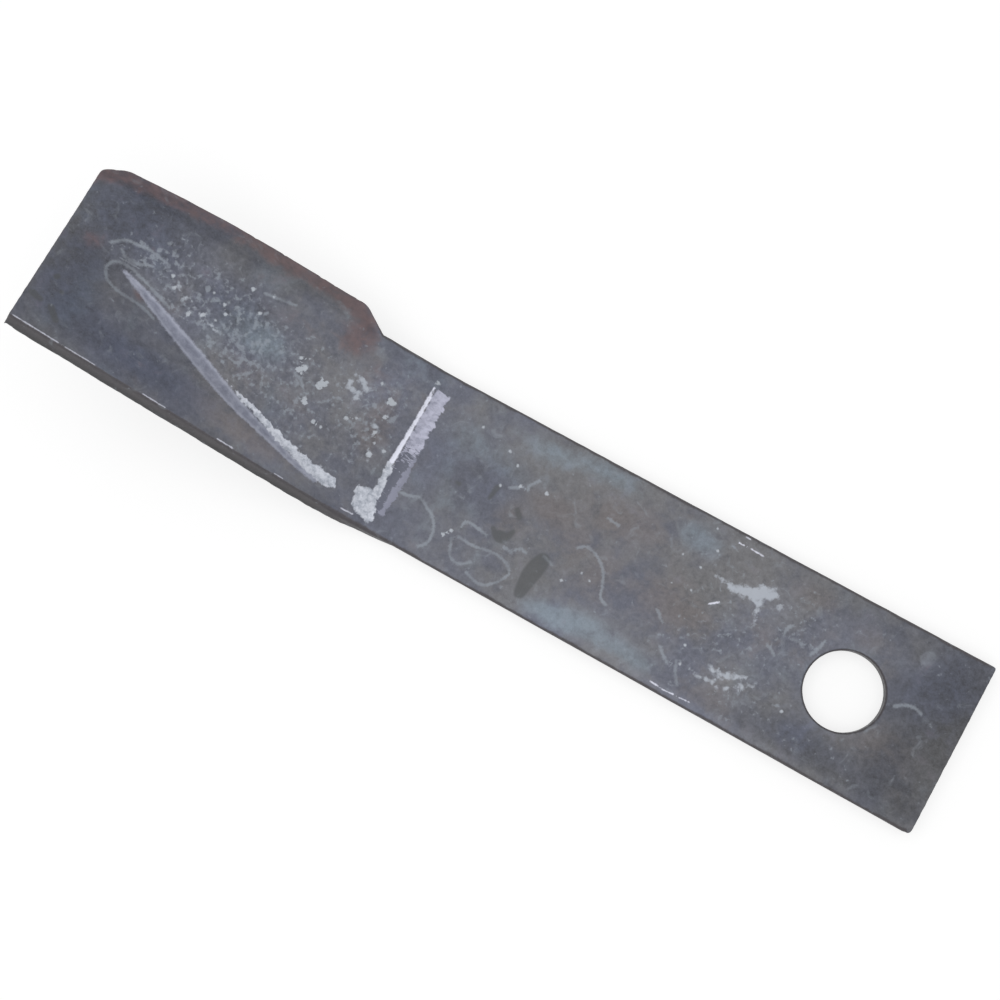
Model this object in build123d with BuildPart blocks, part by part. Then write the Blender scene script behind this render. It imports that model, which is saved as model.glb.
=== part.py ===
"""Rotary cutter blade: one flat steel bar, holed at one end and twice bent at the other.

Millimetres. The origin is the centre of the pivot hole on the underside of the flat bar.
+X runs from the pivot hole to the cutting tip, -Y is the leading (cutting) side, +Z is up.
"""
import os
from math import atan2, cos, degrees, radians, sin, tan

from build123d import *

# Bar
BAR_WIDTH = 101.6
BAR_THICKNESS = 12.7
BAR_EDGE_RADIUS = 2.0

# Pivot end
PIVOT_HOLE_DIAMETER = 44.45
PIVOT_HOLE_EDGE_BREAK = 1.0
PIVOT_TO_END = 65.5
END_SKEW = -0.7

# Bends: the first lies square across the bar, the second slants from the trailing edge to the tip
PIVOT_TO_RISE_BEND = 274.0
RISE_ANGLE = 21.0
LIFT_ANGLE = 28.5
LIFT_BEND_SLANT = 17.4
BENDS_MEET_OUTSIDE = 0.5
BEND_INNER_RADIUS = 20.0

# Trailing edge face, which twists from upright to square with the lifted corner
TWIST_BEFORE_BEND = 35.0
TWIST_AFTER_BEND = 45.0

# Tip, sheared in one cut
RISE_BEND_TO_TIP = 227.0
TIP_SKEW = -2.0

# Cutting edge, drawn out past the leading edge of the bar; positions run from the rise bend
FLARE_START = 46.5
FLARE_SHOULDER_ANGLE = 35.0
FLARE_SHOULDER_RADIUS = 12.0
FLARE_HEIGHT = 11.4
FLARE_HEIGHT_AT_START = 10.6
FLARE_HEIGHT_AT_TIP = 5.5
FLARE_WIDEST = 125.0
CORNER_CUT_ANGLE = 31.0
CORNER_CUT_RADIUS = 2.5
BEVEL_WIDTH = 14.0
EDGE_LAND = 3.5
BEVEL_RUN_OUT_ANGLE = 40.0
BEVEL_RUN_OUT_SLANT = 30.0
BEVEL_RUN_OUT_RADIUS = 10.0

# Working room of the cuts that shape the bar, past the metal they act on
TRAILING_SPARE = 15.0
TIP_SPARE = 20.0
FLARE_ROOT = 10.0
REACH = 60.0
HEIGHT_REACH = 240.0
LENGTH_REACH = 700.0
NEAR = 0.001
MOSTLY = 0.8

RISE_PLANE = Plane(
    origin=(PIVOT_TO_RISE_BEND, BAR_WIDTH / 2 + BENDS_MEET_OUTSIDE, BAR_THICKNESS),
    x_dir=(cos(radians(RISE_ANGLE)), 0, sin(radians(RISE_ANGLE))),
    z_dir=(-sin(radians(RISE_ANGLE)), 0, cos(radians(RISE_ANGLE))),
)
FLAT_PLANE = Plane(origin=RISE_PLANE.origin)
LIFT_PLANE = Plane(
    RISE_PLANE.location
    * Rotation(0, 0, -LIFT_BEND_SLANT)
    * Rotation(LIFT_ANGLE, 0, 0)
    * Rotation(0, 0, LIFT_BEND_SLANT)
)
RISE_FACE = Plane(
    origin=RISE_PLANE.from_local_coords((0, -BAR_WIDTH / 2 - BENDS_MEET_OUTSIDE, 0)),
    x_dir=RISE_PLANE.x_dir,
    z_dir=RISE_PLANE.z_dir,
)


def bar_point(plane, along, across, up=0.0):
    """A point near a face: along the bar from the rise bend, across it from its axis, above it."""
    return plane.from_local_coords((along, across - BAR_WIDTH / 2 - BENDS_MEET_OUTSIDE, up))


def bend_space(depth):
    """The room above the three faces, all lowered by depth, with its bend edges rounded."""
    planes = [plane.offset(-depth) for plane in (FLAT_PLANE, RISE_PLANE, LIFT_PLANE)]
    with BuildPart(planes[0]) as space:
        Box(2 * LENGTH_REACH, 2 * HEIGHT_REACH, HEIGHT_REACH, align=(Align.CENTER, Align.CENTER, Align.MIN))
        for plane in planes[1:]:
            split(bisect_by=plane, keep=Keep.TOP)
        meeting_point = space.vertices().sort_by_distance(RISE_PLANE.origin)[0]
        bends = [edge for edge in space.edges() if meeting_point in edge.vertices()]
        fillet(bends, BEND_INNER_RADIUS + depth)
    return space.part


def twist_guide(up):
    """A line along the trailing edge face through its twist, at a height above the bar's top."""
    start = bar_point(FLAT_PLANE, -TWIST_BEFORE_BEND, BAR_WIDTH / 2, up)
    end = bar_point(LIFT_PLANE, TWIST_AFTER_BEND, BAR_WIDTH / 2, up)
    with BuildLine() as guide:
        Spline(start, end, tangents=[FLAT_PLANE.x_dir, LIFT_PLANE.x_dir])
    return guide.edge()


def trailing_waste():
    """All that lies outside the trailing edge face."""
    twisted_face = Face.make_surface_from_curves(twist_guide(REACH), twist_guide(-REACH))
    flat_start = bar_point(FLAT_PLANE, -TWIST_BEFORE_BEND, BAR_WIDTH / 2)
    lift_start = bar_point(LIFT_PLANE, TWIST_AFTER_BEND, BAR_WIDTH / 2)
    with BuildPart() as waste:
        extrude(twisted_face, amount=REACH, dir=LIFT_PLANE.y_dir)
        with Locations(flat_start):
            Box(LENGTH_REACH, REACH, 2 * REACH, align=(Align.MAX, Align.MIN, Align.CENTER))
        with Locations(Plane(lift_start, x_dir=LIFT_PLANE.x_dir, z_dir=LIFT_PLANE.z_dir)):
            Box(LENGTH_REACH, REACH, 2 * REACH, align=(Align.MIN, Align.MIN, Align.CENTER))
    return waste.part


def tip_plane():
    """The shear plane of the tip, through its two corners and the point where it meets the slanted bend."""
    skew = tan(radians(TIP_SKEW))
    slant = radians(LIFT_BEND_SLANT)
    to_bend = (RISE_BEND_TO_TIP - BENDS_MEET_OUTSIDE * skew) / (cos(slant) - sin(slant) * skew)
    at_bend = RISE_PLANE.from_local_coords((to_bend * cos(slant), -to_bend * sin(slant), 0))
    trailing = bar_point(LIFT_PLANE, RISE_BEND_TO_TIP, BAR_WIDTH / 2)
    leading = bar_point(RISE_PLANE, RISE_BEND_TO_TIP + BAR_WIDTH * skew, -BAR_WIDTH / 2)
    across = trailing - leading
    return Plane(at_bend, x_dir=across, z_dir=(at_bend - leading).cross(across))


def bar_blank():
    """The bar before its tip is finished: bent, twisted at the trailing edge and rounded as rolled."""
    skew = tan(radians(END_SKEW))
    outer = BAR_WIDTH / 2 + TRAILING_SPARE
    with BuildPart() as blank:
        with BuildSketch(Plane.XY.offset(-REACH)):
            with BuildLine():
                Polyline(
                    (-PIVOT_TO_END - skew * BAR_WIDTH / 2, -BAR_WIDTH / 2),
                    (LENGTH_REACH, -BAR_WIDTH / 2),
                    (LENGTH_REACH, outer),
                    (-PIVOT_TO_END + skew * outer, outer),
                    close=True,
                )
            make_face()
        extrude(amount=HEIGHT_REACH)
        add(bend_space(BAR_THICKNESS), mode=Mode.INTERSECT)
        add(bend_space(0), mode=Mode.SUBTRACT)
        add(trailing_waste(), mode=Mode.SUBTRACT)
        split(bisect_by=tip_plane().offset(TIP_SPARE), keep=Keep.BOTTOM)
        fillet(rolled_edges(blank), BAR_EDGE_RADIUS)
    return blank.part


def rolled_edges(bar):
    """The long edges of the bar, where its two sides meet its top and its underside."""
    sides = bar.faces().filter_by(lambda face: abs(face.normal_at().Y) > MOSTLY)
    ends = bar.faces().filter_by(lambda face: abs(face.normal_at().X) > MOSTLY)
    side_edges = [edge for face in sides for edge in face.edges()]
    end_edges = [edge for face in ends for edge in face.edges()]
    return [edge for edge in side_edges if side_edges.count(edge) == 1 and edge not in end_edges]


def flare():
    """The metal drawn out past the leading edge, at full thickness and past the tip."""
    side = -BAR_WIDTH / 2
    slope = tan(radians(FLARE_SHOULDER_ANGLE))
    with BuildPart() as drawn_out:
        with BuildSketch(RISE_FACE) as outline:
            with BuildLine():
                shoulder = Line(
                    (FLARE_START - FLARE_ROOT / slope, side + FLARE_ROOT),
                    (FLARE_START + FLARE_HEIGHT_AT_START / slope, side - FLARE_HEIGHT_AT_START),
                )
                edge = ThreePointArc(
                    shoulder @ 1,
                    (FLARE_WIDEST, side - FLARE_HEIGHT),
                    (RISE_BEND_TO_TIP, side - FLARE_HEIGHT_AT_TIP),
                )
                Polyline(edge @ 1, (RISE_BEND_TO_TIP, side + FLARE_ROOT), shoulder @ 0)
            make_face()
            fillet(outline.vertices().sort_by_distance(shoulder @ 1)[0], FLARE_SHOULDER_RADIUS)
        extrude(amount=-BAR_THICKNESS)
    return drawn_out.part


def bevel_space():
    """The room above the bevel, ramped and rounded at its inner end."""
    inner = FLARE_HEIGHT - BEVEL_WIDTH
    angle = degrees(atan2(BAR_THICKNESS - EDGE_LAND, BEVEL_WIDTH))
    start = RISE_FACE.location * Pos(FLARE_START, -BAR_WIDTH / 2 - inner, 0)
    bevel = Plane(start * Rotation(angle, 0, 0))
    ramp = Plane(start * Rotation(0, 0, BEVEL_RUN_OUT_SLANT) * Rotation(0, BEVEL_RUN_OUT_ANGLE, 0))
    with BuildPart(RISE_FACE) as space:
        Box(2 * LENGTH_REACH, 2 * LENGTH_REACH, 2 * HEIGHT_REACH)
        split(bisect_by=bevel, keep=Keep.TOP)
        split(bisect_by=ramp, keep=Keep.TOP)
        corner = [
            edge for edge in space.edges()
            if all(abs(plane.to_local_coords(edge @ 0.5).Z) < NEAR for plane in (bevel, ramp))
        ]
        fillet(corner, BEVEL_RUN_OUT_RADIUS)
    return space.part


def corner_plane():
    """The plane that cuts the leading corner of the tip, from the corner of the bar outwards."""
    along = RISE_BEND_TO_TIP + BAR_WIDTH * tan(radians(TIP_SKEW))
    corner = RISE_FACE.location * Pos(along, -BAR_WIDTH / 2, 0)
    return Plane(corner * Rotation(0, 0, CORNER_CUT_ANGLE) * Rotation(90, 0, 0))


def corner_edges(part):
    """The edges of the cut corner that run through the bar's thickness."""
    cut = corner_plane()
    return [
        edge for edge in part.edges()
        if all(abs(cut.to_local_coords(edge @ share).Z) < NEAR for share in (0, 1))
        and abs(edge.tangent_at(0.5).dot(RISE_FACE.z_dir)) > MOSTLY
    ]


with BuildPart() as blade:
    add(bar_blank())
    add(flare())
    add(bevel_space(), mode=Mode.SUBTRACT)
    split(bisect_by=tip_plane(), keep=Keep.BOTTOM)
    split(bisect_by=corner_plane(), keep=Keep.BOTTOM)
    fillet(corner_edges(blade), CORNER_CUT_RADIUS)
    Hole(PIVOT_HOLE_DIAMETER / 2)
    rims = [
        edge for edge in blade.edges().filter_by(GeomType.CIRCLE)
        if abs(edge.radius - PIVOT_HOLE_DIAMETER / 2) < NEAR
    ]
    chamfer(max(rims, key=lambda rim: rim.center().Z), PIVOT_HOLE_EDGE_BREAK)

blade.part.label = "blade"
os.makedirs("parts", exist_ok=True)
export_step(blade.part, "parts/blade.step")
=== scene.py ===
"""Looks of a rotary cutter blade: forged and bent flat bar under blue-grey mill scale.

The blade's mesh is laid out flat, in millimetres, and then bent as the real bar was:
x runs from the pivot hole to the tip, y from the leading (negative) to the trailing side,
h up from the underside. Blender's own units are metres.
"""
from math import atan2, cos, pi, radians, sin, tan

import bpy
import numpy as np
from mathutils import Matrix, Vector


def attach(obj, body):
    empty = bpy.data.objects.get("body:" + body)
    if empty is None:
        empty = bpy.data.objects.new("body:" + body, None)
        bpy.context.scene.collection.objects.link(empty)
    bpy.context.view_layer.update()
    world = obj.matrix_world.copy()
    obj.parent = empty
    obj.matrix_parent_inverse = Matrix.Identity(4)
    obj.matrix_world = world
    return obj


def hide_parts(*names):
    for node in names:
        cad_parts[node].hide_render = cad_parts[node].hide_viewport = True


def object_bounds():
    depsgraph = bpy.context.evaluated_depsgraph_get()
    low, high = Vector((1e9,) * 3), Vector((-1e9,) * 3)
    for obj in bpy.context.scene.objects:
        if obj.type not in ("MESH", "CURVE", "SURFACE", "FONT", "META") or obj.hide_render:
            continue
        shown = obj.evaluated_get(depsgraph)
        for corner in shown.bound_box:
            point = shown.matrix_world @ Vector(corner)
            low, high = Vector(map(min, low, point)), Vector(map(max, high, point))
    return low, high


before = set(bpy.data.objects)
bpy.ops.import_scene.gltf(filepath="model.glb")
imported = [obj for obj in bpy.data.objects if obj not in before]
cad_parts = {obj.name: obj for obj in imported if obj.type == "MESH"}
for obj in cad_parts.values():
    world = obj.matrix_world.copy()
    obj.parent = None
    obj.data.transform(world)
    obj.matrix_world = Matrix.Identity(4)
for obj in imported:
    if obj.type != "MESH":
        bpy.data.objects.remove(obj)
cad_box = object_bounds()

MM = 0.001

# Sizes of the bar, as in its solid model
WIDTH = 101.6
HALF = WIDTH / 2
THICK = 12.7
HOLE_RADIUS = 22.225
HOLE_BREAK = 1.0
TO_END = 65.5
END_SKEW = tan(radians(-0.7))
TO_RISE = 274.0
RISE = radians(21.0)
LIFT = radians(28.5)
SLANT = radians(17.4)
BENDS_OUTSIDE = 0.5
BEND_RADIUS = 20.0
TO_TIP = TO_RISE + 227.0
TIP_SKEW = tan(radians(2.0))
TIP_CORNER_X = TO_TIP - WIDTH * TIP_SKEW
FLARE_X = TO_RISE + 46.5
SHOULDER_SLOPE = tan(radians(35.0))
FLARE_START_HEIGHT = 10.6
FLARE_HEIGHT = 11.4
FLARE_TIP_HEIGHT = 5.5
FLARE_WIDEST_X = TO_RISE + 125.0
CORNER_SLOPE = tan(radians(31.0))
BEVEL_WIDTH = 14.0
EDGE_LAND = 3.5
RUN_OUT_ANGLE = radians(40.0)
RUN_OUT_SLANT = radians(30.0)

# Edge radii
ROLLED_EDGE = 2.0
LIFTED_EDGE = 1.1
CUT_EDGE = 0.5
FORGED_EDGE = 0.9

# Mesh spacing, in cells
ROWS = 78
END_COLUMNS = 11
TIP_COLUMNS = 340
HOLE_RINGS = 26
ARC_CELLS = 4
SIDE_CELLS = 6
EDGE_REACH = 9.0
FLARE_REACH = 34.0


def smooth_max(a, b, width):
    """The larger of two values, rounded where they cross."""
    near = np.maximum(width - np.abs(a - b), 0) / width
    return np.maximum(a, b) + near * near * width / 4


def fade(distance, reach):
    """1 at no distance, easing to 0 at the reach."""
    t = np.clip(distance / reach, 0, 1)
    return 1 - t * t * (3 - 2 * t)


def ease(value, low, high):
    """0 below low, 1 above high, smooth between."""
    t = np.clip((value - low) / (high - low), 0, 1)
    return t * t * (3 - 2 * t)


def wander(x, y, size, seed):
    """Smooth noise from -1 to 1 over the plane, with features of the given size."""
    cells = 64
    grid = np.random.default_rng(seed).uniform(-1, 1, (cells, cells))
    u = np.asarray(x) / size + 1000.0
    v = np.asarray(y) / size + 1000.0
    iu = np.floor(u).astype(int)
    iv = np.floor(v).astype(int)
    fu = (u - iu) ** 2 * (3 - 2 * (u - iu))
    fv = (v - iv) ** 2 * (3 - 2 * (v - iv))
    pick = lambda du, dv: grid[(iu + du) % cells, (iv + dv) % cells]
    low = pick(0, 0) * (1 - fu) + pick(1, 0) * fu
    high = pick(0, 1) * (1 - fu) + pick(1, 1) * fu
    return low * (1 - fv) + high * fv


def leading_line(x):
    """How far the leading edge stands past the bar's side, as a y value."""
    shoulder = -(x - FLARE_X) * SHOULDER_SLOPE
    ease_out = (x - FLARE_WIDEST_X) / (TO_TIP - FLARE_WIDEST_X)
    ease_in = (x - FLARE_WIDEST_X) / (FLARE_WIDEST_X - FLARE_X)
    drop = np.where(
        ease_out > 0,
        (FLARE_HEIGHT - FLARE_TIP_HEIGHT) * ease_out ** 2,
        (FLARE_HEIGHT - FLARE_START_HEIGHT) * ease_in ** 2,
    )
    edge = smooth_max(shoulder, drop - FLARE_HEIGHT, 2.6)
    corner = (x - TIP_CORNER_X) * CORNER_SLOPE
    edge = smooth_max(edge, corner, 1.5)
    return -HALF - smooth_max(-edge, 0 * x, 0.8) + 0.2 * fade(np.abs(edge), 0.8)


def bevel_depth(x, y):
    """How far the top lies below the bar's own top, on the bevel of the cutting edge."""
    inner = -HALF - (FLARE_HEIGHT - BEVEL_WIDTH)
    slope = (THICK - EDGE_LAND) / BEVEL_WIDTH
    bevel = (inner - y) * slope
    along = (x - FLARE_X) * cos(RUN_OUT_SLANT) + (y - inner) * sin(RUN_OUT_SLANT)
    ramp = along * tan(RUN_OUT_ANGLE)
    lower = -smooth_max(-bevel, -ramp, 2.5)
    return np.maximum(smooth_max(lower, 0 * x, 1.6) - 0.4 * fade(np.abs(lower), 1.6), 0)


def turned(t, w, angle):
    """Bends the plane of t (across the fold) and w (up) by an angle at t = 0, about an arc above it."""
    half = BEND_RADIUS * tan(angle / 2)
    turn = np.clip((t + half) / (2 * half), 0, 1) * angle
    past = np.maximum(t - half, 0)
    before = np.minimum(t + half, 0)
    t_bent = -half + (BEND_RADIUS - w) * np.sin(turn) + before + past * cos(angle)
    w_bent = BEND_RADIUS - (BEND_RADIUS - w) * np.cos(turn) + past * sin(angle)
    return t_bent, w_bent


def bent(flat):
    """Bends flat points (x, y, h): first the corner's lift along the slanted fold, then the rise."""
    u = flat[:, 0] - TO_RISE
    v = flat[:, 1] - HALF - BENDS_OUTSIDE
    w = flat[:, 2] - THICK
    along = u * cos(SLANT) - v * sin(SLANT)
    across, w = turned(u * sin(SLANT) + v * cos(SLANT), w, LIFT)
    u = along * cos(SLANT) + across * sin(SLANT)
    v = across * cos(SLANT) - along * sin(SLANT)
    u, w = turned(u, w, RISE)
    return np.stack([u + TO_RISE, v + HALF + BENDS_OUTSIDE, w + THICK], axis=1)


def tip_line(y):
    """Where the tip is cut off, on the bar's top."""
    return TO_TIP + (y - HALF) * TIP_SKEW


def tip_lean(y, depth):
    """How far the tip's cut leans along the bar at a depth: it is one plane after bending."""
    leading, fold, trailing = (-HALF, -19.0, HALF)
    corners = bent(np.array([[tip_line(b), b, THICK] for b in (leading, fold, trailing)]))
    normal = np.cross(corners[1] - corners[0], corners[2] - corners[0])
    lean = np.zeros(len(y))
    for _ in range(4):
        x = tip_line(y) + lean
        here = (bent(np.stack([x, y, THICK - depth], axis=1)) - corners[0]) @ normal
        ahead = (bent(np.stack([x + 1, y, THICK - depth], axis=1)) - corners[0]) @ normal
        lean = lean - here / (ahead - here)
    return lean


def plan_grid():
    """Nominal plan places of a grid of columns along the bar and rows across it."""
    rows = np.linspace(-HALF, HALF, ROWS + 1)
    in_end = np.linspace(0, 1, END_COLUMNS + 1)[:-1, None]
    in_tip = np.linspace(0, 1, TIP_COLUMNS + 1)[:, None]
    end = -TO_END + END_SKEW * rows[None, :]
    x = np.concatenate([
        end + (-HALF - end) * in_end,
        rows[:-1, None] + 0 * rows[None, :],
        HALF + (tip_line(rows)[None, :] - HALF) * in_tip,
    ])
    stretch = fade(rows + HALF, FLARE_REACH)[None, :]
    y = rows[None, :] + stretch * (leading_line(x) + HALF)
    return x, y


def outline_index(columns):
    """The grid places round the outline: leading side, tip, trailing side, pivot end."""
    leading = [(i, 0) for i in range(columns)]
    tip = [(columns, j) for j in range(ROWS)]
    trailing = [(i, ROWS) for i in range(columns, 0, -1)]
    end = [(0, j) for j in range(ROWS, 0, -1)]
    return np.array(leading + tip + trailing + end).T


def round_corners(loop, corners):
    """Pulls in the outline round each corner, more times for a rounder one."""
    for place, times in corners:
        for turn in range(times):
            near = (np.arange(place - turn - 1, place + turn + 2)) % len(loop)
            before = loop[(near - 1) % len(loop)]
            after = loop[(near + 1) % len(loop)]
            loop[near] = (before + 2 * loop[near] + after) / 4
    return loop


def edge_radii(x, y):
    """Top and bottom edge radius round the outline."""
    at_end = x < -TO_END + 2
    at_tip = (x > tip_line(y) - 1) | (corner_cut(x, y) < 1)
    flared = ease(x, FLARE_X - 4, FLARE_X + 12) * (y < 0)
    lifted = ease(x, TO_RISE - 20, TO_RISE + 40) * (y > 0)
    top = ROLLED_EDGE + (FORGED_EDGE - ROLLED_EDGE) * flared + (LIFTED_EDGE - ROLLED_EDGE) * lifted
    bottom = ROLLED_EDGE + (FORGED_EDGE - ROLLED_EDGE) * flared
    cut = at_end | at_tip
    at_bends = np.exp(-((x - TO_RISE - 12) / 26) ** 2) * (y > 0)
    wear = 1.1 + 0.25 * wander(x, y, 7.0, 3) + 0.15 * wander(x, y, 2.5, 4)
    top = (np.where(cut, CUT_EDGE, top) + 1.0 * at_bends) * wear
    bottom = (np.where(cut, CUT_EDGE, bottom) + 2.2 * at_bends) * wear
    return top, bottom


def corner_cut(x, y):
    """Distance inside the slanted cut of the leading tip corner."""
    return (y + HALF - (x - TIP_CORNER_X) * CORNER_SLOPE) * cos(atan2(CORNER_SLOPE, 1))


class Sheet:
    """Gathers flat vertices and quads, and merges the vertices that coincide.

    A vertex is x, y, h and round: 0 on the top, 1 on the sides, 2 on the underside, and
    in between on the edges.
    """

    def __init__(self):
        self.points = []
        self.quads = []
        self.count = 0

    def grid(self, points, keep=None, flip=False, wrap=False):
        """Adds a grid of points, shaped (n, m, 4), closed on its first axis if wrap is set."""
        n, m, _ = points.shape
        index = self.count + np.arange(n * m).reshape(n, m)
        if wrap:
            index = np.concatenate([index, index[:1]])
        quads = np.stack([index[:-1, :-1], index[1:, :-1], index[1:, 1:], index[:-1, 1:]], axis=-1)
        if flip:
            quads = quads[..., ::-1]
        quads = quads.reshape(-1, 4) if keep is None else quads[keep]
        self.points.append(points.reshape(-1, 4))
        self.quads.append(quads)
        self.count += n * m

    def merged(self):
        """Vertices and quads with coinciding vertices joined."""
        points = np.concatenate(self.points)
        quads = np.concatenate(self.quads)
        keys = np.round(points[:, :3] / 0.01).astype(np.int64)
        _, first, back = np.unique(keys, axis=0, return_index=True, return_inverse=True)
        back = back.reshape(-1)
        used = np.unique(back[quads])
        order = np.full(len(first), -1)
        order[used] = np.arange(len(used))
        return points[first[used]], order[back[quads]]


def blade_sheet():
    """The whole skin of the blade, flat: top, underside, side band and hole wall."""
    x, y = plan_grid()
    columns = x.shape[0] - 1
    at_i, at_j = outline_index(columns)
    nominal = np.stack([x[at_i, at_j], y[at_i, at_j]], axis=1)
    corners = [(0, 2), (columns, 4), (columns + ROWS, 1), (2 * columns + ROWS, 6)]
    loop = round_corners(nominal.copy(), corners)
    step = np.roll(loop, -1, axis=0) - np.roll(loop, 1, axis=0)
    outward = np.stack([step[:, 1], -step[:, 0]], axis=1) / np.linalg.norm(step, axis=1)[:, None]
    radii = edge_radii(loop[:, 0], loop[:, 1])
    tip_share = fade(tip_line(loop[:, 1]) - loop[:, 0], EDGE_REACH)
    lean_rate = tip_lean(loop[:, 1], np.full(len(loop), THICK)) / THICK * tip_share

    sheet = Sheet()
    for radius, under in zip(radii, (False, True)):
        shift = loop - outward * radius[:, None] - nominal
        depth = THICK if under else bevel_depth(loop[:, 0], loop[:, 1])
        shift[:, 0] += lean_rate * depth
        face = face_grid(x, y, shift, at_i, at_j)
        add_face(sheet, face, columns, under)
    add_side(sheet, loop, outward, radii, lean_rate)
    add_hole_wall(sheet)
    return sheet.merged()


def face_grid(x, y, shift, at_i, at_j):
    """The plan grid with its outline shifted, and the shift fading out inwards."""
    columns = x.shape[0] - 1
    edge = np.zeros(x.shape + (2,))
    edge[at_i, at_j] = shift
    to_leading = fade(y - y[:, :1], EDGE_REACH)[..., None]
    to_trailing = fade(y[:, -1:] - y, EDGE_REACH)[..., None]
    to_end = fade(x - x[:1], EDGE_REACH)[..., None]
    to_tip = fade(x[-1:] - x, EDGE_REACH)[..., None]
    moved = to_leading * edge[:, :1] + to_trailing * edge[:, -1:] + to_end * edge[:1] + to_tip * edge[-1:]
    for i, from_end in ((0, to_end), (columns, to_tip)):
        for j, from_side in ((0, to_leading), (ROWS, to_trailing)):
            moved -= from_end * from_side * edge[i, j]
    return np.stack([x, y], axis=-1) + moved


def add_face(sheet, face, columns, under):
    """Adds the top or the underside: the grid round the hole's square, and rings inside it."""
    first, last = END_COLUMNS, END_COLUMNS + ROWS
    keep = np.ones((columns, ROWS), bool)
    keep[first:last, :] = False
    sheet.grid(raised(face, under), keep=keep, flip=under)
    square = face[first:last + 1]
    ring = np.concatenate([square[:-1, 0], square[-1, :-1], square[:0:-1, -1], square[0, :0:-1]])
    angle = -0.75 * pi + np.arange(len(ring)) * 2 * pi / len(ring)
    break_out = 0.3 if under else HOLE_BREAK
    rim = (HOLE_RADIUS + break_out) * np.stack([np.cos(angle), np.sin(angle)], axis=1)
    share = (np.linspace(0, 1, HOLE_RINGS + 1) ** 1.25)[None, :, None]
    rings = rim[:, None] + (ring - rim)[:, None] * share
    sheet.grid(raised(rings, under), flip=not under, wrap=True)


def raised(plan, under):
    """Plan places lifted to the top of the bar, or left on its underside."""
    depth = np.full(plan.shape[:2], THICK) if under else bevel_depth(plan[..., 0], plan[..., 1])
    around = np.full(depth.shape, 2.0 if under else 0.0)
    return np.concatenate([plan, (THICK - depth)[..., None], around[..., None]], axis=-1)


def add_side(sheet, loop, outward, radii, lean_rate):
    """Adds the band round the outline, from the top face over both edge radii to the underside."""
    top_radius, bottom_radius = radii
    rings = []
    for turn in np.linspace(0, pi / 2, ARC_CELLS + 1):
        inset, level = top_radius * (1 - sin(turn)), top_radius * (1 - cos(turn))
        rings.append((inset, level, "top", turn / (pi / 2)))
    for share in np.linspace(0, 1, SIDE_CELLS + 1)[1:-1]:
        rings.append((0 * top_radius, share, "side", 1.0))
    for turn in np.linspace(pi / 2, 0, ARC_CELLS + 1):
        inset, level = bottom_radius * (1 - sin(turn)), bottom_radius * (1 - cos(turn))
        rings.append((inset, level, "bottom", 2 - turn / (pi / 2)))
    band = []
    for inset, level, where, around in rings:
        plan = loop - outward * inset[:, None]
        full = loop - outward * top_radius[:, None]
        start = bevel_depth(full[:, 0] + lean_rate * bevel_depth(loop[:, 0], loop[:, 1]), full[:, 1])
        if where == "top":
            depth = start + level
        elif where == "bottom":
            depth = THICK - level
        else:
            depth = (start + top_radius) * (1 - level) + (THICK - bottom_radius) * level
        lean_depth = depth
        if where == "top":
            lean_depth = bevel_depth(loop[:, 0], loop[:, 1]) + level
        if where == "bottom":
            lean_depth = THICK - level
        x = plan[:, 0] + lean_rate * lean_depth
        band.append(np.stack([x, plan[:, 1], THICK - depth, np.full(len(x), around)], axis=1))
    sheet.grid(np.stack(band, axis=1), flip=True, wrap=True)


def add_hole_wall(sheet):
    """Adds the wall of the pivot hole, with its edge break."""
    count = 4 * ROWS
    angle = -0.75 * pi + np.arange(count) * 2 * pi / count
    around = np.stack([np.cos(angle), np.sin(angle)], axis=1)
    small = 0.3
    profile = [
        (HOLE_RADIUS + HOLE_BREAK * share, THICK - HOLE_BREAK * (1 - share), 1 - share)
        for share in (1, 0.75, 0.5, 0.25, 0)
    ]
    profile += [(HOLE_RADIUS, h, 1) for h in np.linspace(THICK - HOLE_BREAK, small, 8)[1:]]
    profile += [(HOLE_RADIUS + small, 0, 2)]
    wall = [np.concatenate([around * r, np.full((count, 2), (h, turn))], axis=1) for r, h, turn in profile]
    sheet.grid(np.stack(wall, axis=1), flip=False, wrap=True)


# Marks on the top, placed from the photograph: lines of flat millimetres (x, y, width)
FAR = 9.0
VEIN_WIDTH = 1.7
FOLD_LINE = [(280.6, -39, 1.2), (280.4, -34, 2.0), (280.4, -22, 2.1), (280.6, -8, 2.3), (281, 2, 2.6), (281.2, 9, 3.0)]
FOLD_BROKEN = [(281.0, 7, 2.4), (280.8, 15, 4.2), (280.2, 23, 5.0), (279.2, 30, 5.0)]
FOLD_STRIPE = [(270.2, 2, 1.6), (270.4, 10, 3.0), (270.8, 20, 3.8), (271.0, 30, 4.4), (271.4, 37, 3.2)]
FOLD_BAND = [(275, -50, 9.0), (274.6, 0, 9.4), (275, 50, 9.0)]
FOLD_BAND_REACH = 38.5
BLOB = [(292, 30.5), (282, 28), (277, 34), (274, 44.5), (277, 46.5), (289, 42.5)]
LIFT_BAND = [
    (461, -8.5, 1.6), (450, -5, 4), (438, -0.4, 6), (424, 5.4, 7.5), (409, 11.2, 8.5), (396, 16.2, 8.5), (384, 21, 8.5),
    (372, 25.3, 7.5), (360, 28.8, 6), (345, 32.7, 5), (330, 37, 4), (314, 39.8, 3),
]
LIFT_CHIPS = [
    (386, 14.5, 1.0), (374, 19.2, 2.6), (362, 22.8, 4.0), (347, 27.6, 4.6), (334, 31.6, 5.5), (320, 35, 7.0), (306, 36.6, 8.2),
]
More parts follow.
